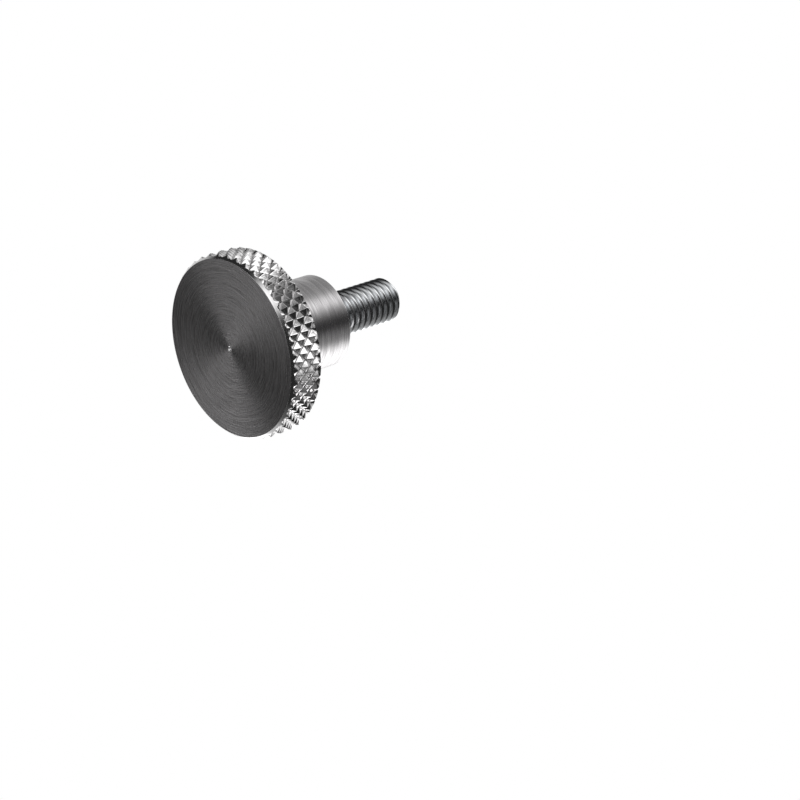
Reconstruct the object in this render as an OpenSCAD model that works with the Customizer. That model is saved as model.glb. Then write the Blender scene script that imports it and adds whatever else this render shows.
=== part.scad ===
// Knurled thumb screw, high type: a diamond-knurled disc, a plain hub and a threaded stud,
// turned from one bar. It stands on the flat face of its head: that face is z = 0, and +Z
// runs along the axis to the tip of the stud. Millimetres.

/* [Head] */
// Diameter over the points of the knurl
knurl_d = 24; // [18:0.5:32]
// Thickness of the knurled disc
knurl_w = 4.8; // [3.5:0.1:8]
// Radial width of the chamfer round the flat face
face_chamfer_w = 0.6; // [0.3:0.05:1]
// Height of the chamfer round the flat face
face_chamfer_h = 0.75; // [0.3:0.05:1.2]
// Width of the 45 degree chamfer behind the knurl
rear_chamfer = 0.5; // [0.2:0.05:0.8]
// Diameter of the lathe centre's dimple in the face
dimple_d = 0.7; // [0.4:0.05:2]
// Depth of the dimple
dimple_depth = 0.25; // [0.1:0.05:0.6]

/* [Knurl] */
// Points in one row round the disc
knurl_count = 43; // [24:1:64]
// Depth of the grooves between the points
knurl_depth = 0.55; // [0.3:0.05:0.8]
// Angle between the grooves and the axis
knurl_angle = 45; // [35:1:55]
// Height above the face of the first row of points
knurl_row_z = 0.62; // [0.3:0.01:0.8]
// Share of the depth that the grooves keep one row below the first, where they run out
knurl_run_out = 0.15; // [0.05:0.05:1]

/* [Hub] */
// Diameter of the hub
hub_d = 12; // [9:0.5:16]
// Height of the whole head, from its face to the hub's shoulder
head_h = 15; // [10:0.5:24]
// Width of the 45 degree chamfer at the shoulder
hub_chamfer = 0.25; // [0.1:0.05:0.6]
// Radius in the corner between the hub and the disc
hub_fillet = 0.3; // [0.15:0.05:0.8]

/* [Stud] */
// Diameter of the stud's plain neck, and the thread's nominal diameter
stud_d = 6; // [5:0.5:8]
// Length of the stud, from the shoulder to its tip
stud_len = 12; // [8:0.5:30]
// Length of the plain neck under the shoulder
neck_len = 1.2; // [1:0.1:4]
// Pitch of the right-hand thread
pitch = 1; // [0.8:0.05:1.25]
// Play of the thread: how far its crests lie inside the nominal diameter
crest_play = 0.04; // [0.02:0.01:0.1]
// Height of the 45 degree chamfer at the tip
tip_chamfer = 0.6; // [0.3:0.05:0.9]

/* [Hidden] */
$fn = 96;

knurl_r = knurl_d / 2;
hub_r = hub_d / 2;
stud_r = stud_d / 2;
tip_z = head_h + stud_len;
neck_z = head_h + neck_len;

// The turning tool passes this far outside the knurl's points.
tool_gap = 0.2;

// Knurl: points and groove crossings alternate, half a point apart, along every row.
knurl_pitch = PI * knurl_d / knurl_count;
row_step = knurl_pitch / tan(knurl_angle) / 2;
first_row = -ceil((knurl_row_z + tool_gap) / row_step);
last_row = ceil((knurl_w + tool_gap - knurl_row_z) / row_step);
ring_points = 2 * knurl_count;

// Thread: the basic metric profile, 60 degrees between the flanks. Its ridge starts inside
// the neck and runs on past the tip.
thread_depth = 0.6134 * pitch;
crest_r = stud_r - crest_play;
root_r = stud_r - thread_depth;
flank_angle = 30;
steps_per_turn = 20;
ridge_z = neck_z - 0.6 * pitch;
ridge_steps = ceil((tip_z + pitch - ridge_z) / pitch * steps_per_turn);

// Share of the groove's depth at a row: the grooves run out before the first row and have
// come up to the surface one row past the disc's rear face.
function groove_share(row) =
    row < 0 ? knurl_run_out : knurl_row_z + row * row_step > knurl_w - rear_chamfer ? 0 : 1;

// Radius of a knurl vertex: a point where column plus row is odd, else a groove crossing.
function knurl_vertex_r(column, row) =
    (column + row) % 2 == 0 ? knurl_r - knurl_depth * groove_share(row) : knurl_r;

function knurl_ring(row) =
    [for (column = [0:ring_points - 1])
        let (angle = column * 360 / ring_points, r = knurl_vertex_r(column, row))
        [r * cos(angle), r * sin(angle), knurl_row_z + row * row_step]];

// Two triangles between four neighbouring vertices, split along the groove.
function knurl_cell(low, low_next, high, high_next, groove_rises) =
    groove_rises
        ? [[low, high_next, low_next], [low, high, high_next]]
        : [[low, high, low_next], [low_next, high, high_next]];

// Bar with sharp four-sided points all over its side, longer than the disc at both ends.
module knurled_bar() {
    rows = last_row - first_row;
    low_centre = (rows + 1) * ring_points;
    high_centre = low_centre + 1;
    points = [
        for (row = [first_row:last_row]) each knurl_ring(row),
        [0, 0, knurl_row_z + first_row * row_step],
        [0, 0, knurl_row_z + last_row * row_step]
    ];
    side = [
        for (i = [0:rows - 1], column = [0:ring_points - 1])
            let (
                next = (column + 1) % ring_points,
                low = i * ring_points,
                high = low + ring_points
            )
            each knurl_cell(low + column, low + next, high + column, high + next,
                            (column + i + first_row) % 2 == 0)
    ];
    ends = [
        for (column = [0:ring_points - 1])
            let (
                next = (column + 1) % ring_points,
                high = rows * ring_points
            )
            each [[low_centre, column, next], [high_centre, high + next, high + column]]
    ];
    polyhedron(points, concat(side, ends), convexity = 6);
}

// Solid swept by the turning tool round the disc: it trims the knurl to its two chamfers.
module disc_envelope() {
    face_r = knurl_r - face_chamfer_w;
    rear_r = knurl_r - rear_chamfer;
    outer_r = knurl_r + tool_gap;
    face_top = face_chamfer_h * (outer_r - face_r) / face_chamfer_w;
    rotate_extrude()
        polygon([
            [0, 0],
            [face_r, 0],
            [outer_r, face_top],
            [outer_r, knurl_w - (outer_r - rear_r)],
            [rear_r, knurl_w],
            [0, knurl_w]
        ]);
}

module knurled_disc() {
    difference() {
        intersection() {
            knurled_bar();
            disc_envelope();
        }
        // Dimple left by the lathe centre.
        translate([0, 0, -dimple_depth])
            cylinder(h = 2 * dimple_depth, r1 = dimple_d, r2 = 0);
    }
}

module hub() {
    rotate_extrude()
        polygon([
            [0, knurl_w / 2],
            [hub_r, knurl_w / 2],
            [hub_r, head_h - hub_chamfer],
            [hub_r - hub_chamfer, head_h],
            [0, head_h]
        ]);
    // Fillet against the disc.
    rotate_extrude()
        translate([hub_r, knurl_w])
            difference() {
                translate([-hub_fillet, -hub_fillet])
                    square(2 * hub_fillet);
                translate([hub_fillet, hub_fillet])
                    circle(hub_fillet);
            }
}

// One cross-section of the thread's ridge, as radius and height, from inside the root out.
function ridge_section() =
    let (
        inner_r = root_r - 0.05 * pitch,
        crest_half = pitch / 16 + crest_play * tan(flank_angle),
        inner_half = crest_half + (crest_r - inner_r) * tan(flank_angle)
    )
    [[inner_r, -inner_half], [crest_r, -crest_half], [crest_r, crest_half], [inner_r, inner_half]];

module thread_ridge() {
    points = [
        for (step = [0:ridge_steps])
            let (
                angle = step * 360 / steps_per_turn,
                z = ridge_z + step * pitch / steps_per_turn
            )
            for (p = ridge_section())
                [p[0] * cos(angle), p[0] * sin(angle), z + p[1]]
    ];
    side = [
        for (step = [0:ridge_steps - 1], corner = [0:3])
            let (
                a = 4 * step + corner,
                b = 4 * step + (corner + 1) % 4
            )
            each [[a, b, a + 4], [b, b + 4, a + 4]]
    ];
    last = 4 * ridge_steps;
    ends = [[3, 2, 1, 0], [last, last + 1, last + 2, last + 3]];
    polyhedron(points, concat(side, ends), convexity = 12);
}

// Space that the tip's chamfer leaves for the thread, longer than the stud at its other end.
module tip_envelope() {
    outer_r = stud_r + tool_gap;
    low_z = head_h - hub_chamfer;
    rotate_extrude()
        polygon([
            [0, low_z],
            [outer_r, low_z],
            [outer_r, tip_z - tip_chamfer - (outer_r - crest_r)],
            [crest_r - tip_chamfer, tip_z],
            [0, tip_z]
        ]);
}

// The core and the plain neck, whose end falls away to the thread's root.
module stud_core() {
    low_z = head_h - hub_chamfer;
    rotate_extrude()
        polygon([
            [0, low_z],
            [stud_r, low_z],
            [stud_r, neck_z],
            [root_r, neck_z + thread_depth],
            [root_r, tip_z + tool_gap],
            [0, tip_z + tool_gap]
        ]);
}

module stud() {
    intersection() {
        union() {
            stud_core();
            thread_ridge();
        }
        tip_envelope();
    }
}

module thumb_screw() {
    color("silver") {
        knurled_disc();
        hub();
        stud();
    }
}

thumb_screw();
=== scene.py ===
import math

import bpy
import numpy as np
from bpy.props import (
    FloatProperty,
    FloatVectorProperty,
    IntProperty,
    PointerProperty,
)
from mathutils import Matrix, Vector


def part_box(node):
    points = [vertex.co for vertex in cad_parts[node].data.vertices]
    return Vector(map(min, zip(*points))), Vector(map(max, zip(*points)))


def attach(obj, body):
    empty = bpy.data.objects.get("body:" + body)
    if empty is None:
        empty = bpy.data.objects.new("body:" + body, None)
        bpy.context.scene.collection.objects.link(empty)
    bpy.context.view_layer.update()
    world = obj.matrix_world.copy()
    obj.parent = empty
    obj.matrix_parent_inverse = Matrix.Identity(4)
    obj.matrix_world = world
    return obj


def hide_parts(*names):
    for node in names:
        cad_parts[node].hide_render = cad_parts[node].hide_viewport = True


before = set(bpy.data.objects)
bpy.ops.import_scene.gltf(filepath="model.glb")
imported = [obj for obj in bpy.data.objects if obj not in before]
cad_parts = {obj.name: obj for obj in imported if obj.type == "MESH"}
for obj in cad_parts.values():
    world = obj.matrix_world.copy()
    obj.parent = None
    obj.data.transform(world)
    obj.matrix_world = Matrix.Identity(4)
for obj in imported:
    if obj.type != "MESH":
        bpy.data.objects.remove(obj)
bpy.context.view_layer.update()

bl_info = {
    "name": "Knurled thumb screw",
    "version": (1, 0, 0),
    "blender": (4, 5, 0),
    "location": "View3D > Sidebar > Thumb screw",
    "description": "Makes a turned, diamond-knurled thumb screw with a rolled thread, and its studio",
    "category": "Add Mesh",
}

NODE = "thumb_screw"
LOW, HIGH = (Vector(corner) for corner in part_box(NODE))
TURN = 2 * math.pi


# ---------------------------------------------------------------- sizes and colours


class HeadSizes(bpy.types.PropertyGroup):
    """Sizes of the knurled disc and the hub behind it."""

    diameter: FloatProperty(
        name="Diameter", description="Over the points of the knurl",
        default=HIGH.x - LOW.x, unit="LENGTH", precision=5)
    width: FloatProperty(
        name="Disc width", description="Thickness of the knurled disc",
        default=0.0048, unit="LENGTH", precision=5)
    face_chamfer: FloatVectorProperty(
        name="Face chamfer", description="Radial width and height of the chamfer round the face",
        default=(0.0006, 0.00075), size=2, unit="LENGTH", precision=5)
    rear_chamfer: FloatProperty(
        name="Rear chamfer", description="Width of the 45 degree chamfer behind the knurl",
        default=0.0005, unit="LENGTH", precision=5)
    dimple: FloatVectorProperty(
        name="Dimple", description="Radius and depth of the lathe centre's dimple",
        default=(0.00035, 0.00025), size=2, unit="LENGTH", precision=5)
    hub_diameter: FloatProperty(
        name="Hub diameter", description="Diameter of the smooth hub",
        default=0.012, unit="LENGTH", precision=5)
    height: FloatProperty(
        name="Head height", description="From the face to the hub's shoulder",
        default=0.015, unit="LENGTH", precision=5)
    hub_chamfer: FloatProperty(
        name="Hub chamfer", description="Width of the 45 degree chamfer at the shoulder",
        default=0.00025, unit="LENGTH", precision=5)
    hub_fillet: FloatProperty(
        name="Hub fillet", description="Radius in the corner between hub and disc",
        default=0.0003, unit="LENGTH", precision=5)


class KnurlSizes(bpy.types.PropertyGroup):
    """Sizes of the diamond knurl."""

    count: IntProperty(
        name="Points", description="Points in one row round the disc", default=43, min=12)
    depth: FloatProperty(
        name="Depth", description="From the points down to the crossings of the grooves",
        default=0.00055, unit="LENGTH", precision=5)
    first_row: FloatProperty(
        name="First row", description="Height of the first row of points above the face",
        default=0.00062, unit="LENGTH", precision=5)
    run_out: FloatProperty(
        name="Groove run-out", description="Share of the depth that the grooves keep one row below the first",
        default=0.15, min=0.0, max=1.0, subtype="FACTOR")
    ridge: FloatProperty(
        name="Ridge rounding", description="How much of a point's height its rounded ridges take",
        default=0.05, min=0.0, max=0.5, subtype="FACTOR")
    groove: FloatProperty(
        name="Groove rounding", description="Half-width of the rounded groove bottom, against its depth",
        default=0.05, min=0.0, max=0.5, subtype="FACTOR")


class StudSizes(bpy.types.PropertyGroup):
    """Sizes of the threaded stud."""

    diameter: FloatProperty(
        name="Diameter", description="Of the plain neck, and the thread's nominal diameter",
        default=0.006, unit="LENGTH", precision=5)
    neck: FloatProperty(
        name="Neck", description="Length of the plain neck under the shoulder",
        default=0.0012, unit="LENGTH", precision=5)
    play: FloatProperty(
        name="Play", description="How far the thread's crests lie inside the nominal diameter",
        default=0.00004, unit="LENGTH", precision=5)
    length: FloatProperty(
        name="Length", description="From the shoulder to the tip",
        default=HIGH.z - 0.015, unit="LENGTH", precision=5)
    pitch: FloatProperty(
        name="Pitch", description="From one crest to the next",
        default=0.001, unit="LENGTH", precision=5)
    depth: FloatProperty(
        name="Thread depth", description="From crest to root",
        default=0.00058, unit="LENGTH", precision=5)
    start: FloatProperty(
        name="Thread start", description="Turn at which a crest leaves the shoulder",
        default=math.radians(144), subtype="ANGLE")
    run_out: FloatProperty(
        name="Run-out", description="Length over which the thread deepens behind the neck",
        default=0.0008, unit="LENGTH", precision=5)
    tip_chamfer: FloatProperty(
        name="Tip chamfer", description="Height of the 45 degree chamfer at the tip",
        default=0.0006, unit="LENGTH", precision=5)


# ---------------------------------------------------------------- profiles


def rounded(corners, radii, steps=4, support=0.00004):
    """Line through the corners with each inner one rounded.

    An arc of the given radius touches both runs at radius / tan(half the corner's angle) from
    the corner, about a centre on its bisector; its points turn evenly from one touching point
    to the other. One more point on each run, just outside the arc, keeps the run flat."""
    corners = np.array(corners, float)
    line = [corners[:1]]
    for before, corner, after, radius in zip(corners[:-2], corners[1:-1], corners[2:], radii):
        a, b = before - corner, after - corner
        a, b = a / np.hypot(*a), b / np.hypot(*b)
        half = math.acos(np.clip(a @ b, -1, 1)) / 2
        centre = corner + (a + b) / np.hypot(*(a + b)) * radius / math.sin(half)
        reach = radius / math.tan(half)
        start, end, sweep = corner + a * reach - centre, corner + b * reach - centre, math.pi - 2 * half
        t = np.linspace(0, 1, steps + 1)[:, None]
        arc = (np.sin((1 - t) * sweep) * start + np.sin(t * sweep) * end) / math.sin(sweep)
        line += [[corner + a * (reach + support)], centre + arc, [corner + b * (reach + support)]]
    return np.concatenate(line + [corners[-1:]])


def smooth_min(a, b, width):
    """Lower of the two, with the crease between them rounded over the given width."""
    return (a + b - np.sqrt((a - b) ** 2 + width ** 2)) / 2


# ---------------------------------------------------------------- skin of the turned bar


class Skin:
    """Closed surface of a turned bar, gathered as rings of points from one pole to the other."""

    def __init__(self):
        self.points, self.lay, self.crest = [], [], []
        self.triangles, self.finishes, self.total = [], [], 0

    def add_points(self, angle, radius, z, lay, crest=1.0):
        """Point at an angle and radius round the axis and at a height. Returns their numbers."""
        shape = np.broadcast_shapes(*map(np.shape, (angle, radius, z, lay, crest)))
        angle, radius, z, lay, crest = (np.broadcast_to(v, shape).ravel()
                                        for v in (angle, radius, z, lay, crest))
        self.points.append(np.stack([radius * np.cos(angle), radius * np.sin(angle), z], 1))
        self.lay.append(lay)
        self.crest.append(crest)
        numbers = np.arange(self.total, self.total + angle.size).reshape(shape)
        self.total += angle.size
        return numbers

    def add_triangles(self, triangles, finish):
        """Keeps the triangles whose corners are three different points."""
        triangles = np.asarray(triangles).reshape(-1, 3)
        finish = np.broadcast_to(finish, len(triangles))
        a, b, c = triangles.T
        real = (a != b) & (b != c) & (c != a)
        self.triangles.append(triangles[real])
        self.finishes.append(finish[real])

    def fill(self, rows, rising=True, finish=0, beside=None):
        """Two triangles between neighbours in each pair of rows, split along the diagonal that
        rises with the angle or the one that falls."""
        beside = np.roll(rows, -1, axis=1) if beside is None else beside
        low, high, low_next, high_next = rows[:-1], rows[1:], beside[:-1], beside[1:]
        up = np.stack([low, low_next, high_next, low, high_next, high], -1)
        down = np.stack([low, low_next, high, low_next, high_next, high], -1)
        both = np.where(np.broadcast_to(rising, low.shape)[..., None], up, down)
        self.add_triangles(both, np.repeat(np.broadcast_to(finish, low.shape).ravel(), 2))

    def cap(self, pole, ring, opening, finish=0):
        """Fan between a pole and a ring: opening where the skin starts, else closing."""
        pair = (ring, np.roll(ring, -1)) if opening else (np.roll(ring, -1), ring)
        self.add_triangles(np.stack([np.full(ring.size, pole), pair[1], pair[0]], -1), finish)

    def widen(self, coarse, fine, finish=0):
        """Joins a ring to one with four times its points."""
        a, b = coarse, np.roll(coarse, -1)
        f = np.concatenate([fine, fine[:1]])
        f0, f1, f2, f3, f4 = (f[k:k + 4 * coarse.size:4] for k in range(5))
        fans = [(a, f1, f0), (a, f2, f1), (a, b, f2), (b, f3, f2), (b, f4, f3)]
        self.add_triangles(np.concatenate([np.stack(fan, -1) for fan in fans]), finish)

    def narrow(self, fine, coarse, finish=0):
        """Joins a ring to one with a quarter of its points."""
        a, b = coarse, np.roll(coarse, -1)
        f = np.concatenate([fine, fine[:1]])
        f0, f1, f2, f3, f4 = (f[k:k + 4 * coarse.size:4] for k in range(5))
        fans = [(f0, f1, a), (f1, f2, a), (f2, b, a), (f2, f3, b), (f3, f4, b)]
        self.add_triangles(np.concatenate([np.stack(fan, -1) for fan in fans]), finish)

    def mesh(self, name):
        """Mesh of the triangles, with the lay and crest values on its points and a UV map that
        runs round the axis in U and along the profile in V."""
        points, triangles = np.concatenate(self.points), np.concatenate(self.triangles)
        used, numbers = np.unique(triangles, return_inverse=True)
        points, triangles = points[used], numbers.reshape(-1, 3)
        lay, crest = np.concatenate(self.lay)[used], np.concatenate(self.crest)[used]
        me = bpy.data.meshes.new(name)
        me.vertices.add(len(points))
        me.loops.add(triangles.size)
        me.polygons.add(len(triangles))
        me.vertices.foreach_set("co", points.ravel())
        me.loops.foreach_set("vertex_index", triangles.ravel())
        me.polygons.foreach_set("loop_start", np.arange(0, triangles.size, 3))
        me.polygons.foreach_set("material_index", np.concatenate(self.finishes))
        for label, values in (("lay", lay), ("crest", crest)):
            me.attributes.new(label, "FLOAT", "POINT").data.foreach_set("value", values)
        me.update(calc_edges=True)
        angle = np.arctan2(points[:, 1], points[:, 0]) / TURN % 1
        u = angle[triangles]
        u = u + (u < u.max(1, keepdims=True) - 0.5)
        uv = np.stack([u, lay[triangles] / lay.max()], -1)
        me.uv_layers.new(name="turned").data.foreach_set("uv", uv.ravel())
        me.polygons.foreach_set("use_smooth", np.ones(len(triangles), bool))
        me.set_sharp_from_angle(angle=math.radians(32))
        if me.validate():
            raise RuntimeError(f"{name}: the mesh had faults")
        return me


STEPS = np.array([0, 0.05, 0.13, 0.3, 0.5, 0.7, 0.87, 0.95])


def knurl_height(column, row, sizes):
    """Height of the knurl from 0 at a groove crossing to 1 at a point.

    Grooves run where column minus row and column plus row are even. The distance from the
    nearest groove of each family, 0 on it and 1 halfway to the next, is rounded at the groove;
    the surface is the lower of the two, with rounded ridges and a slightly blunted point."""
    def flank(across):
        distance = 1 - np.abs(across % 2 - 1)
        return np.sqrt(distance ** 2 + sizes.groove ** 2) - sizes.groove * (1 - distance)
    height = smooth_min(flank(column - row), flank(column + row), sizes.ridge)
    return np.clip(height / (1 - sizes.ridge / 2), 0, 1)


def knurled_side(skin, head, knurl, start_ring, start_lay):
    """Side of the disc, from its face edge to its rear edge.

    Every column of points runs up the side at one angle. Its radius is the lowest of the
    knurl's and the two chamfers'. The grooves deepen evenly between the row below the first and
    the first, and come up to the surface evenly over one row behind the last. Where a chamfer
    meets the knurl, the nearest point of the column moves to the meeting height, so the edge
    between them is a clean zigzag."""
    outer = head.diameter / 2
    half_points = 2 * knurl.count
    column = (np.arange(half_points)[:, None] + STEPS).ravel()
    angle = column * TURN / half_points
    row_step = math.pi * head.diameter / half_points
    cells = np.arange(-1, math.ceil(head.width / row_step) + 1)
    row = (cells[:, None] + STEPS).ravel()
    z = knurl.first_row + row * row_step
    first, last = 0.00004, head.width - 0.00002
    z = np.concatenate([[first], z[(z > first + 0.00002) & (z < last - 0.00002)], [last]])
    z = np.repeat(z[:, None], column.size, 1)

    chamfer_width, chamfer_height = head.face_chamfer
    front = lambda z: outer - chamfer_width + z * chamfer_width / chamfer_height
    rear = lambda z: outer - head.rear_chamfer + head.width - z
    last_row = (head.width - head.rear_chamfer - knurl.first_row) // row_step * row_step + knurl.first_row
    share = lambda z: np.clip(np.minimum(1 + (1 - knurl.run_out) * (z - knurl.first_row) / row_step,
                                         1 - (z - last_row) / row_step), 0, 1)
    height = lambda z: knurl_height(column, (z - knurl.first_row) / row_step, knurl)
    side = lambda z: outer - knurl.depth * share(z) * (1 - height(z))

    def meeting(chamfer, sign):
        """Height at which the chamfer meets the knurl in each column, by halving the interval."""
        low = np.full(column.size, 0.0 if sign > 0 else head.width / 2)
        high = np.full(column.size, head.width / 2 if sign > 0 else head.width * 1.1)
        for _ in range(30):
            middle = (low + high) / 2
            above = sign * (chamfer(middle) - side(middle)) > 0
            low, high = np.where(above, low, middle), np.where(above, middle, high)
        return (low + high) / 2

    meets = [meeting(front, 1), meeting(rear, -1)]
    snapped = []
    everywhere = np.arange(column.size)
    for met in meets:
        inside = (met > z[0]) & (met < z[-1])
        nearest = np.abs(z[1:-1] - met).argmin(0) + 1
        z[nearest[inside], everywhere[inside]] = met[inside]
        snapped.append(np.where(inside, nearest, -9))
    radius = np.minimum(side(z), np.minimum(front(z), rear(z)))
    crest = height(z)
    crest[z <= meets[0]] = 1.0
    crest[z >= meets[1]] = 1.0

    middle = (z[:-1] + z[1:]) / 2
    cell = np.floor((middle - knurl.first_row) / row_step).astype(int) + np.floor(column).astype(int)
    rising = cell % 2 == 0
    for level in snapped:
        step = np.roll(level, -1) - level
        rising[level[step == 1], everywhere[step == 1]] = True
        rising[level[step == -1] - 1, everywhere[step == -1]] = False
    between = (middle + np.roll(middle, -1, 1)) / 2
    finish = np.where(between < (meets[0] + np.roll(meets[0], -1)) / 2, FINISHES.index("edge"),
                      np.where(between > (meets[1] + np.roll(meets[1], -1)) / 2,
                               FINISHES.index("edge"), FINISHES.index("knurl")))
    lay = start_lay + z
    rows = skin.add_points(angle, radius, z, lay, crest)
    skin.fill(np.concatenate([start_ring[None], rows]),
              np.concatenate([np.ones((1, column.size), bool), rising]),
              np.concatenate([np.zeros((1, column.size), int), finish]))
    return angle, rows[-1], radius[-1], start_lay + head.width


THREAD_STEPS = np.arange(20) / 20


def thread_height(turn):
    """Height of the thread from 0 at the root to 1 at the crest, over one turn.

    The flanks stand at 30 degrees. The crest is well rounded and the root nearly sharp. Widths
    along the axis are shares of the pitch, and roundings are shares of the height."""
    root_edge, flank_width = 0.4375, 0.354
    crest_rounding, root_rounding = 0.42, 0.1

    def form(away):
        flank = smooth_min((root_edge - away) / flank_width, 1.0, crest_rounding)
        return -smooth_min(-flank, 0.0, root_rounding)
    root, crest = form(np.array([0.5, 0.0]))
    return (form(np.abs((turn + 0.5) % 1 - 0.5)) - root) / (crest - root)


def threaded_stud(skin, head, stud, start_ring, start_lay):
    """Helical skin of the stud: the rows of points follow the thread, and are drawn together
    where they pass the stud's two ends."""
    columns = start_ring.size
    per_turn = THREAD_STEPS.size
    turns = math.ceil(stud.length / stud.pitch) + 2
    low, high = head.height + 0.00008, head.height + stud.length - 0.00004
    angle = np.arange(columns) * TURN / columns
    course = (np.arange(-1, turns)[:, None] + THREAD_STEPS).ravel()[:, None]
    phase = stud.start / TURN % 1
    z = low + stud.pitch * (course - phase + angle / TURN)
    below, above = z <= low, z >= high
    z = np.clip(z, low, high)
    run = np.clip((z - head.height - stud.neck) / stud.run_out, 0, 1)
    run = run * run * (3 - 2 * run)
    crest_r = stud.diameter / 2 - stud.play * run
    turn = (z - low) / stud.pitch + phase - angle / TURN
    height = thread_height(turn)
    depth = stud.depth * run * (1 - height)
    tip = stud.diameter / 2 - stud.play - (z - (head.height + stud.length - stud.tip_chamfer))
    radius = np.minimum(crest_r - depth, tip)
    rows = skin.add_points(angle, radius, z, start_lay + z - low, 1 - run * (1 - height))
    ends = skin.add_points(angle, np.stack([radius[0], radius[-1]]), np.array([[low], [high]]),
                           start_lay + np.array([[0], [high - low]]))
    rows = np.where(below, ends[0], np.where(above, ends[1], rows))
    seam = rows[np.minimum(np.arange(len(rows)) + per_turn, len(rows) - 1), :1]
    beside = np.concatenate([rows[:, 1:], seam], 1)
    skin.fill(np.stack([start_ring, ends[0]]), finish=FINISHES.index("hub"))
    skin.fill(rows, finish=FINISHES.index("stud"), beside=beside)
    return angle, ends[1], radius[-1], start_lay + high - low


def turned_rings(skin, angle, line, lay):
    """Rings round the axis at the line's radii and heights. The lay grows with the way along it."""
    way = lay + np.concatenate([[0], np.cumsum(np.hypot(*np.diff(line, axis=0).T))])
    return skin.add_points(angle, line[:, :1], line[:, 1:], way[:, None]), way[-1]


def middles(line):
    """Radius and height halfway between the points of a line."""
    return (line[:-1] + line[1:]) / 2


def face_finish(line):
    """Finish of each stretch of a line: the flat face, or the edges that rise from it."""
    return np.where(middles(line)[:, 1:] > 0, FINISHES.index("edge"), FINISHES.index("face"))


def screw_mesh(head, knurl, stud):
    """One closed skin: face, chamfer, knurl, rear of the disc, hub, shoulder, thread and tip."""
    skin = Skin()
    fine_angle = (np.arange(2 * knurl.count)[:, None] + STEPS).ravel() * TURN / (2 * knurl.count)
    coarse_angle = fine_angle[::4]
    outer, hub_r, crest_r = head.diameter / 2, head.hub_diameter / 2, stud.diameter / 2
    face_r = outer - head.face_chamfer[0]
    slope = head.face_chamfer[0] / head.face_chamfer[1]
    dimple_r, dimple_depth = head.dimple

    pole = skin.add_points(0.0, 0.0, dimple_depth, 0.0).item()
    line = rounded([(dimple_r * 0.04, dimple_depth * 0.96), (dimple_r, 0), (face_r - 0.0004, 0)], [0.00004])
    line = np.concatenate([line[:-1], np.linspace(line[-2] + (0.0003, 0), line[-1], 8)])
    face, lay = turned_rings(skin, coarse_angle, line, 0.0)
    skin.cap(pole, face[0], True, FINISHES.index("edge"))
    skin.fill(face, finish=face_finish(line))
    line = rounded([(face_r - 0.00025, 0), (face_r, 0), (face_r + slope * 0.00003, 0.00003)], [0.00004],
                   support=0.00001)[:-1]
    edge, lay = turned_rings(skin, fine_angle, line, lay + 0.00015)
    skin.widen(face[-1], edge[0])
    skin.fill(edge, finish=face_finish(line))
    angle, ring, radius, lay = knurled_side(skin, head, knurl, edge[-1], lay)

    inset = np.array([[0.00002], [0.00008]])
    back = skin.add_points(angle, radius - inset, head.width, lay + inset)
    skin.fill(np.concatenate([ring[None], back]), finish=FINISHES.index("hub"))
    inner = outer - knurl.depth - 0.0003
    line = rounded(
        [(inner, head.width), (hub_r, head.width), (hub_r, head.height - head.hub_chamfer),
         (hub_r - head.hub_chamfer, head.height), (crest_r + 0.0001, head.height)],
        [head.hub_fillet, 0.00006, 0.00006])
    hub, lay = turned_rings(skin, coarse_angle, line, lay + 0.0005)
    skin.narrow(back[-1], hub[0], FINISHES.index("hub"))
    cut = (middles(line) > (hub_r - head.hub_chamfer, head.height - head.hub_chamfer)).all(1, keepdims=True)
    skin.fill(hub, finish=np.where(cut, FINISHES.index("edge"), FINISHES.index("hub")))

    angle, ring, radius, lay = threaded_stud(skin, head, stud, hub[-1], lay)
    tip_z = head.height + stud.length
    fractions = np.array([[0.995], [0.97], [0.6], [0.2], [0.02]])
    tip = skin.add_points(angle, radius * fractions, tip_z, lay + radius * (1 - fractions))
    skin.fill(np.concatenate([ring[None], tip]), finish=FINISHES.index("stud"))
    pole = skin.add_points(0.0, 0.0, tip_z, lay + radius.mean()).item()
    skin.cap(pole, tip[-1], False, FINISHES.index("stud"))
    return skin.mesh("turned screw")


# ---------------------------------------------------------------- finishes


FINISHES = ["face", "knurl", "hub", "stud", "edge"]


class SteelColours(bpy.types.PropertyGroup):
    """Colour and gloss of the bare steel."""

    turned: FloatVectorProperty(
        name="Turned face", description="Colour of the turned face",
        default=(0.585, 0.57, 0.577), size=3, subtype="COLOR", min=0, max=1)
    plain: FloatVectorProperty(
        name="Turned hub", description="Colour of the finer turned hub and back of the disc",
        default=(0.61, 0.597, 0.603), size=3, subtype="COLOR", min=0, max=1)
    # Paler than bare steel: partly the rolled steel's own colour, partly a painted highlight that makes the
    # knurl's facets and the chamfers shine brighter.
    rolled: FloatVectorProperty(
        name="Knurled steel", description="Colour of the knurl's pressed flanks and of the chamfers",
        default=(0.92, 0.91, 0.913), size=3, subtype="COLOR", min=0, max=1)
    # The bluish tint is the thread's own; its paleness beyond bare steel is partly a painted highlight that
    # makes the crests shine brighter.
    threaded: FloatVectorProperty(
        name="Threaded steel", description="Colour of the rolled thread",
        default=(0.80, 0.815, 0.83), size=3, subtype="COLOR", min=0, max=1)
    # Painted shade: this near-black colour darkens the knurl's grooves and the thread's roots, where shade
    # falls.
    groove_shade: FloatVectorProperty(
        name="Shade", description="Colour of the painted film left in the grooves",
        default=(0.10, 0.098, 0.095), size=3, subtype="COLOR", min=0, max=1)


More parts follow.
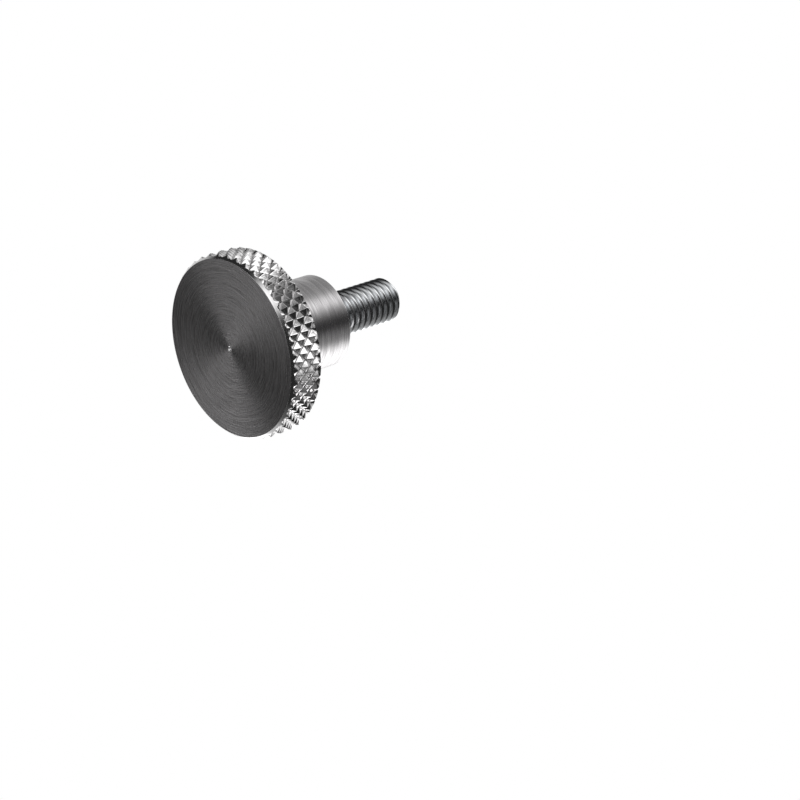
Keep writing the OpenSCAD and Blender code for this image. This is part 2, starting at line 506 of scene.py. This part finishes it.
class Graph:
    """Adds nodes to a material's or a group's tree and links them."""

    def __init__(self, tree):
        self.tree = tree

    def add(self, kind, inputs=None, **settings):
        """Node of a kind, with its settings, and its inputs given as values or as outputs to link."""
        node = self.tree.nodes.new(kind)
        for name, value in settings.items():
            setattr(node, name, value)
        for socket, value in (inputs or {}).items():
            if isinstance(value, bpy.types.NodeSocket):
                self.tree.links.new(value, node.inputs[socket])
            else:
                node.inputs[socket].default_value = value
        return node

    def math(self, operation, a, b=0.0, clamp=False):
        return self.add("ShaderNodeMath", {0: a, 1: b}, operation=operation, use_clamp=clamp).outputs[0]

    def scaled(self, value, low, high, to_low=0.0, to_high=1.0):
        """Value taken from one range to another, held at its ends."""
        return self.add("ShaderNodeMapRange", {"Value": value, "From Min": low, "From Max": high,
                                               "To Min": to_low, "To Max": to_high}).outputs[0]

    def mixed(self, share, a, b, blend="MIX"):
        """Mix of two colours."""
        node = self.add("ShaderNodeMix", {0: share, 6: a, 7: b}, data_type="RGBA", blend_type=blend)
        return node.outputs[2]


def turned_lines():
    """Node group: marks of the turning tool, as lines round the axis.

    Noise is read at (x / r * Sweep, y / r * Sweep, lay * Lines), so it changes fast along the
    profile and slowly round the axis. Height and Tone, which is their change in brightness, sum
    fine and broad lines, and Glint picks out a few thin lines that soon fade, where a painted
    highlight is mixed in."""
    tree = bpy.data.node_groups.new("turned lines", "ShaderNodeTree")
    for name, default in (("Lines", 5000.0), ("Sweep", 2.0)):
        tree.interface.new_socket(name, in_out="INPUT", socket_type="NodeSocketFloat").default_value = default
    for name in ("Height", "Tone", "Glint"):
        tree.interface.new_socket(name, in_out="OUTPUT", socket_type="NodeSocketFloat")
    g = Graph(tree)
    given, out = g.add("NodeGroupInput"), g.add("NodeGroupOutput")
    place = g.add("ShaderNodeTexCoord").outputs["Object"]
    flat = g.add("ShaderNodeVectorMath", {0: place, 1: (1, 1, 0)}, operation="MULTIPLY").outputs[0]
    round_axis = g.add("ShaderNodeVectorMath", {0: flat}, operation="NORMALIZE").outputs[0]
    lay = g.add("ShaderNodeAttribute", attribute_name="lay").outputs["Fac"]

    def lines(rate, sweep, detail, seed):
        across = g.math("MULTIPLY", lay, g.math("MULTIPLY", given.outputs["Lines"], rate))
        along = g.add("ShaderNodeVectorMath",
                      {0: round_axis, "Scale": g.math("MULTIPLY", given.outputs["Sweep"], sweep)},
                      operation="SCALE").outputs[0]
        rise = g.add("ShaderNodeCombineXYZ", {"Z": g.math("ADD", across, seed)}).outputs[0]
        vector = g.add("ShaderNodeVectorMath", {0: along, 1: rise}, operation="ADD").outputs[0]
        return g.add("ShaderNodeTexNoise", {"Vector": vector, "Scale": 1.0, "Detail": detail,
                                            "Roughness": 0.6}).outputs["Fac"]

    fine, broad = lines(1.0, 1.0, 3.0, 0.0), lines(0.3, 0.6, 2.0, 40.0)
    thin = lines(1.6, 2.4, 1.0, 120.0)
    height = g.math("ADD", g.math("MULTIPLY", fine, 0.6), g.math("MULTIPLY", broad, 0.9))
    g.tree.links.new(height, out.inputs["Height"])
    tone = g.math("ADD", g.math("MULTIPLY", broad, 0.3), g.math("MULTIPLY", fine, 0.7))
    g.tree.links.new(g.scaled(tone, 0.38, 0.62), out.inputs["Tone"])
    g.tree.links.new(g.scaled(thin, 0.66, 0.74), out.inputs["Glint"])
    return tree


def groove_shading():
    """Node group: how far down a groove a point lies, and a patchy mask of painted shade there.

    Depth is 1 minus the crest value. The edge of the painted shade is moved up and down by noise."""
    tree = bpy.data.node_groups.new("groove film", "ShaderNodeTree")
    for name, default in (("Reach", 0.35), ("Patches", 900.0)):
        tree.interface.new_socket(name, in_out="INPUT", socket_type="NodeSocketFloat").default_value = default
    for name in ("Shaded", "Mottle"):
        tree.interface.new_socket(name, in_out="OUTPUT", socket_type="NodeSocketFloat")
    g = Graph(tree)
    given, out = g.add("NodeGroupInput"), g.add("NodeGroupOutput")
    place = g.add("ShaderNodeTexCoord").outputs["Object"]
    crest = g.add("ShaderNodeAttribute", attribute_name="crest").outputs["Fac"]
    patches = g.add("ShaderNodeTexNoise", {"Vector": place, "Scale": given.outputs["Patches"], "Detail": 3.0,
                                           "Roughness": 0.6}).outputs["Fac"]
    edge = g.math("MULTIPLY", given.outputs["Reach"], g.scaled(patches, 0.3, 0.7, 0.4, 1.4))
    # Painted shade mask: 1 at the bottom of a groove, falling to 0 at its patchy edge.
    g.tree.links.new(g.add("ShaderNodeMapRange", {"Value": crest, "From Min": 0.0, "From Max": edge,
                                                  "To Min": 1.0, "To Max": 0.0}).outputs[0],
                     out.inputs["Shaded"])
    g.tree.links.new(g.scaled(patches, 0.3, 0.7), out.inputs["Mottle"])
    return tree


def steel(name, groups, colour, groove_shade, *, lines, sweep, relief, tone, roughness, spread,
          brushed=0.0, shading=0.0, dents=0.0):
    """Bare steel. The turning marks have so many lines to a metre and so much sweep round the
    axis, and change the relief, the colour by tone and the roughness by spread. A few thin lines
    among them are mixed lighter as a painted highlight. Brushed is how far highlights are drawn
    out across the marks, shading how far up the grooves a painted shade reaches, darkening them
    towards the shade colour and roughening them, and dents how deep rolling has left the steel uneven."""
    material = bpy.data.materials.new(name)
    material.use_nodes = True
    tree = material.node_tree
    g = Graph(tree)
    shader = tree.nodes["Principled BSDF"]
    marks = g.add("ShaderNodeGroup", {}, node_tree=groups["lines"])
    marks.inputs["Lines"].default_value, marks.inputs["Sweep"].default_value = lines, sweep
    grooves = g.add("ShaderNodeGroup", {}, node_tree=groups["shading"])
    grooves.inputs["Reach"].default_value = max(shading, 0.001)
    dark, light = (tuple(c * k for c in colour) + (1,) for k in (1 - tone, 1 + tone))
    base = g.mixed(marks.outputs["Tone"], dark, light)
    # Painted highlight: a few thin lines are mixed towards light grey, standing in for glints on the turning
    # marks.
    base = g.mixed(g.math("MULTIPLY", marks.outputs["Glint"], 0.35), base, (0.8, 0.79, 0.78, 1))
    # Painted shade: the knurl's grooves and the thread's roots are darkened towards the shade colour.
    if shading:
        base = g.mixed(g.math("MULTIPLY", grooves.outputs["Shaded"], 0.75), base, (*groove_shade, 1))
    tree.links.new(base, shader.inputs["Base Color"])
    rough = g.scaled(marks.outputs["Tone"], 0, 1, roughness + spread, roughness - spread)
    rough = g.math("ADD", rough, g.math("MULTIPLY", grooves.outputs["Shaded"], 0.25 if shading else 0.0))
    tree.links.new(rough, shader.inputs["Roughness"])
    bump = g.add("ShaderNodeBump", {"Strength": 1.0, "Distance": relief, "Height": marks.outputs["Height"]})
    if dents:
        bump = g.add("ShaderNodeBump", {"Strength": 1.0, "Distance": dents,
                                        "Height": grooves.outputs["Mottle"], "Normal": bump.outputs[0]})
    tree.links.new(bump.outputs[0], shader.inputs["Normal"])
    shader.inputs["Metallic"].default_value = 1.0
    if brushed:
        shader.inputs["Anisotropic"].default_value = brushed
        shader.inputs["Anisotropic Rotation"].default_value = 0.25
        tangent = g.add("ShaderNodeTangent", direction_type="UV_MAP", uv_map="turned")
        tree.links.new(tangent.outputs[0], shader.inputs["Tangent"])
    return material


def steels(colours):
    """The five finishes, in the order of FINISHES."""
    groups = {"lines": turned_lines(), "shading": groove_shading()}
    # The shade colour is painted into the knurl's grooves and the thread's roots as painted shade.
    groove_shade = colours.groove_shade
    return [
        steel("face", groups, colours.turned, groove_shade, lines=8500, sweep=2.6, relief=0.00003,
              tone=0.42, roughness=0.36, spread=0.07, brushed=0.8),
        # The knurl and the edges take the paler knurl colour, which is partly a painted highlight.
        steel("knurl", groups, colours.rolled, groove_shade, lines=2600, sweep=9.0, relief=0.000002,
              tone=0.06, roughness=0.10, spread=0.03, shading=0.08, dents=0.00003),
        steel("hub", groups, colours.plain, groove_shade, lines=6200, sweep=1.8, relief=0.000014,
              tone=0.22, roughness=0.27, spread=0.05, brushed=0.7),
        # The thread's paler colour is partly a painted highlight.
        steel("stud", groups, colours.threaded, groove_shade, lines=6000, sweep=3.0, relief=0.0000004,
              tone=0.04, roughness=0.13, spread=0.03, shading=0.45),
        steel("edge", groups, colours.rolled, groove_shade, lines=6000, sweep=2.0, relief=0.000003,
              tone=0.10, roughness=0.16, spread=0.04),
    ]


# ---------------------------------------------------------------- studio


class StudioSettings(bpy.types.PropertyGroup):
    """Camera, light and floor."""

    lens: FloatProperty(
        name="Lens", description="Focal length on a 36 mm wide sensor",
        default=94.07, subtype="DISTANCE_CAMERA")
    camera_at: FloatVectorProperty(
        name="Camera", description="Where the camera stands",
        default=(-0.02072, -0.20784, -0.15369), subtype="TRANSLATION", precision=5)
    camera_aim: FloatVectorProperty(
        name="Aim", description="Point that the middle of the view falls on",
        default=(0.01159, -0.01064, 0.01575), subtype="TRANSLATION", precision=5)
    camera_roll: FloatProperty(
        name="Roll", description="Turn of the camera about its line of sight",
        default=math.radians(69.90), subtype="ANGLE", precision=4)
    tent_radius: FloatProperty(
        name="Tent radius", description="Of the light tent that the steel reflects",
        default=0.9, unit="LENGTH")
    tent_level: FloatProperty(
        name="Tent level", description="Brightness of the tent's bare cloth, where white is 1",
        default=0.5, min=0, max=2)


def place_camera(studio):
    """Camera at its place, looking at the aim point, then rolled about its line of sight."""
    camera = bpy.data.objects.new("camera", bpy.data.cameras.new("camera"))
    bpy.context.collection.objects.link(camera)
    camera.data.lens = studio.lens
    camera.data.sensor_width = 36
    camera.data.clip_start, camera.data.clip_end = 0.005, 20
    place, aim = Vector(studio.camera_at), Vector(studio.camera_aim)
    turn = (aim - place).to_track_quat("-Z", "Y").to_matrix() @ Matrix.Rotation(studio.camera_roll, 3, "Z")
    camera.matrix_world = Matrix.Translation(place) @ turn.to_4x4()
    bpy.context.scene.camera = camera
    return turn


# Cloths, lamps and dark cards of the tent. Each has its middle and half-widths as azimuth and
# elevation in degrees, seen from the screw with the camera upright behind (0 is away from the
# camera, 90 to its right), and how much lighter or darker than the bare cloth it is.
PANELS = {
    "long lamp below, ahead": (5, -30, 35, 15, 1.2),
    "lamp below, right": (50, -40, 20, 15, 1.0),
    "lamp below, left": (-40, -35, 25, 15, 1.2),
    "soft lamp ahead, right": (30, 15, 15, 25, 0.5),
    "soft lamp ahead, left": (-30, 20, 20, 15, 0.2),
    "lamp above, right": (85, 45, 20, 12, 0.8),
    "lamp above the camera": (175, 35, 25, 18, 1.1),
    "soft lamp behind, left": (-130, 10, 30, 20, 0.3),
    "dark card above, left": (-100, 45, 40, 20, -0.7),
    "soft card above, right": (30, 65, 40, 15, -0.15),
    "dark card below, left": (-90, -30, 30, 25, -0.8),
    "dark card right": (70, 5, 18, 25, -0.7),
    "dark card far right": (110, 5, 30, 18, -0.4),
    "dark card behind, right": (150, -25, 35, 30, -0.4),
    "dark card at the camera": (-170, -10, 15, 30, -0.9),
    "dark card below the camera": (170, -50, 30, 20, -0.4),
    "dark card underneath": (180, -80, 40, 15, -0.4),
    "dark card left": (-70, 10, 20, 20, -0.3),
}


def light_tent(studio, turn):
    """Round tent about the screw, which only reflections see: bright cloth, lamps behind it and
    dark panels. The level at azimuth a and elevation e is the bare cloth's, plus for each panel
    its change times 2 ^ -(x^2 + y^2)^1.5, with x and y the distances from its middle over its
    half-widths. It fades towards straight up and straight down, and never goes quite black."""
    columns, rows = 120, 59
    darkest, fade = 0.02, 0.4
    u, v = np.meshgrid(np.arange(columns) / columns, (np.arange(rows) + 1) / (rows + 1), indexing="xy")
    azimuth, elevation = (u - 0.5) * TURN, (v - 0.5) * math.pi
    level = np.full(u.shape, studio.tent_level)
    for a, e, half_a, half_e, change in PANELS.values():
        x = (np.degrees(azimuth) - a + 180) % 360 - 180
        x = x * np.cos(elevation) / half_a
        y = (np.degrees(elevation) - e) / half_e
        level += change * np.exp2(-(x * x + y * y) ** 1.5)
    level *= 1 - fade * (np.abs(elevation) / (math.pi / 2)) ** 6
    level = np.maximum(level, darkest)
    seen = np.stack([np.cos(elevation) * np.sin(azimuth), np.sin(elevation),
                     -np.cos(elevation) * np.cos(azimuth)], -1)
    seen = np.concatenate([seen.reshape(-1, 3), [(0, -1, 0), (0, 1, 0)]]) @ np.array(turn).T
    points = np.array(studio.camera_aim) + seen * studio.tent_radius
    n = np.arange(rows * columns).reshape(rows, columns)
    beside = np.roll(n, -1, 1)
    quads = np.stack([n[:-1], n[1:], beside[1:], beside[:-1]], -1).reshape(-1, 4)
    low = np.stack([np.full(columns, n.size), n[0], beside[0]], -1)
    high = np.stack([np.full(columns, n.size + 1), beside[-1], n[-1]], -1)
    me = bpy.data.meshes.new("light tent")
    me.from_pydata(points.tolist(), [], quads.tolist() + low.tolist() + high.tolist())
    ends = [level[0].mean(), level[-1].mean()]
    values = np.concatenate([level.ravel(), ends])
    me.attributes.new("level", "FLOAT", "POINT").data.foreach_set("value", values)
    me.polygons.foreach_set("use_smooth", np.ones(len(me.polygons), bool))
    me.update()
    material = bpy.data.materials.new("tent cloth")
    material.use_nodes = True
    material.node_tree.nodes.clear()
    g = Graph(material.node_tree)
    cloth = g.add("ShaderNodeAttribute", attribute_name="level").outputs["Fac"]
    glow = g.add("ShaderNodeEmission", {"Color": (1, 1, 1, 1), "Strength": cloth})
    g.add("ShaderNodeOutputMaterial", {"Surface": glow.outputs[0]})
    material.cycles.emission_sampling = "NONE"
    me.materials.append(material)
    tent = bpy.data.objects.new("light_tent", me)
    bpy.context.collection.objects.link(tent)
    tent.visible_camera = tent.visible_diffuse = tent.visible_shadow = False
    tent.visible_transmission = tent.visible_volume_scatter = False


def white_floor():
    """Table top at the height of the screw's face. It fades into the white backdrop with distance
    from the screw, and from below it isn't there, so the camera can look up at the face."""
    size = 1.5
    me = bpy.data.meshes.new("floor")
    corners = [(-size, -size, 0), (size, -size, 0), (size, size, 0), (-size, size, 0)]
    me.from_pydata(corners, [], [(0, 1, 2, 3)])
    material = bpy.data.materials.new("white table")
    material.use_nodes = True
    material.node_tree.nodes.clear()
    g = Graph(material.node_tree)
    place = g.add("ShaderNodeTexCoord").outputs["Object"]
    distance = g.add("ShaderNodeVectorMath", {0: place}, operation="LENGTH").outputs["Value"]
    paint = g.add("ShaderNodeBsdfDiffuse", {"Color": (0.9, 0.9, 0.9, 1)})
    white = g.add("ShaderNodeEmission", {"Color": (1, 1, 1, 1), "Strength": 1.0})
    clear = g.add("ShaderNodeBsdfTransparent")
    path = g.add("ShaderNodeLightPath").outputs
    below = g.add("ShaderNodeNewGeometry").outputs["Backfacing"]
    far = g.add("ShaderNodeMapRange", {"Value": distance, "From Min": 0.02, "From Max": 0.09},
                interpolation_type="SMOOTHSTEP").outputs[0]
    top = g.add("ShaderNodeMixShader", {0: far, 1: paint.outputs[0], 2: white.outputs[0]})
    gone = g.math("MAXIMUM", below, path["Is Shadow Ray"])
    whole = g.add("ShaderNodeMixShader", {0: gone, 1: top.outputs[0], 2: clear.outputs[0]})
    g.add("ShaderNodeOutputMaterial", {"Surface": whole.outputs[0]})
    me.materials.append(material)
    floor = bpy.data.objects.new("floor", me)
    floor.location.z = -0.00001
    bpy.context.collection.objects.link(floor)
    floor.visible_glossy = False


def white_world():
    """World at a plain level for light, and white where the camera, gloss or glass sees it."""
    world = bpy.data.worlds.new("studio")
    bpy.context.scene.world = world
    world.use_nodes = True
    world.node_tree.nodes.clear()
    g = Graph(world.node_tree)
    path = g.add("ShaderNodeLightPath").outputs
    seen = g.math("MAXIMUM", path["Is Camera Ray"], g.math("MAXIMUM", path["Is Glossy Ray"],
                                                           path["Is Transmission Ray"]))
    strength = g.scaled(seen, 0, 1, 0.75, 1.0)
    ground = g.add("ShaderNodeBackground", {"Color": (1, 1, 1, 1), "Strength": strength})
    g.add("ShaderNodeOutputWorld", {"Surface": ground.outputs[0]})


def lamp(name, place, size, level):
    """Square lamp that looks at the screw, which gloss doesn't see. At its place it lights the
    screw as a white cloth of its size would at the given level."""
    data = bpy.data.lights.new(name, "AREA")
    data.size = size
    data.energy = level * math.pi * size * size
    piece = bpy.data.objects.new(name, data)
    bpy.context.collection.objects.link(piece)
    place = Vector(place)
    piece.matrix_world = Matrix.Translation(place) @ (-place).to_track_quat("-Z", "Y").to_matrix().to_4x4()
    piece.visible_camera = piece.visible_glossy = False
    return piece


# ---------------------------------------------------------------- operators


class THUMBSCREW_OT_screw(bpy.types.Operator):
    """Makes the thumb screw as one closed mesh."""

    bl_idname = "thumbscrew.screw"
    bl_label = "Turned screw"

    def execute(self, context):
        scene = context.scene
        me = screw_mesh(scene.screw_head, scene.screw_knurl, scene.screw_stud)
        for material in steels(scene.screw_steel):
            me.materials.append(material)
        piece = bpy.data.objects.new("turned_screw", me)
        context.collection.objects.link(piece)
        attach(piece, "root")
        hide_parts(NODE)
        return {"FINISHED"}


class THUMBSCREW_OT_studio(bpy.types.Operator):
    """Makes the floor, the lights and the camera."""

    bl_idname = "thumbscrew.studio"
    bl_label = "Studio"

    def execute(self, context):
        studio = context.scene.screw_studio
        context.scene.view_settings.view_transform = "Standard"
        turn = place_camera(studio)
        light_tent(studio, turn)
        white_floor()
        white_world()
        lamp("key", place=(-0.25, -0.2, 0.45), size=0.25, level=1.6)
        lamp("fill", place=(0.35, 0.1, 0.3), size=0.25, level=0.8)
        return {"FINISHED"}


class THUMBSCREW_PT_panel(bpy.types.Panel):
    """Lists the operators in the sidebar."""

    bl_label = "Thumb screw"
    bl_space_type = "VIEW_3D"
    bl_region_type = "UI"
    bl_category = "Thumb screw"

    def draw(self, context):
        for operator in OPERATORS:
            self.layout.operator(operator.bl_idname)


OPERATORS = (THUMBSCREW_OT_screw, THUMBSCREW_OT_studio)
SETTINGS = {
    "screw_head": HeadSizes,
    "screw_knurl": KnurlSizes,
    "screw_stud": StudSizes,
    "screw_steel": SteelColours,
    "screw_studio": StudioSettings,
}


def register():
    for kind in (*SETTINGS.values(), *OPERATORS, THUMBSCREW_PT_panel):
        bpy.utils.register_class(kind)
    for name, kind in SETTINGS.items():
        setattr(bpy.types.Scene, name, PointerProperty(type=kind))


def unregister():
    for name in SETTINGS:
        delattr(bpy.types.Scene, name)
    for kind in (THUMBSCREW_PT_panel, *OPERATORS, *SETTINGS.values()):
        bpy.utils.unregister_class(kind)


def main():
    register()
    bpy.ops.thumbscrew.screw()
    bpy.ops.thumbscrew.studio()


if __name__ == "__main__":
    main()
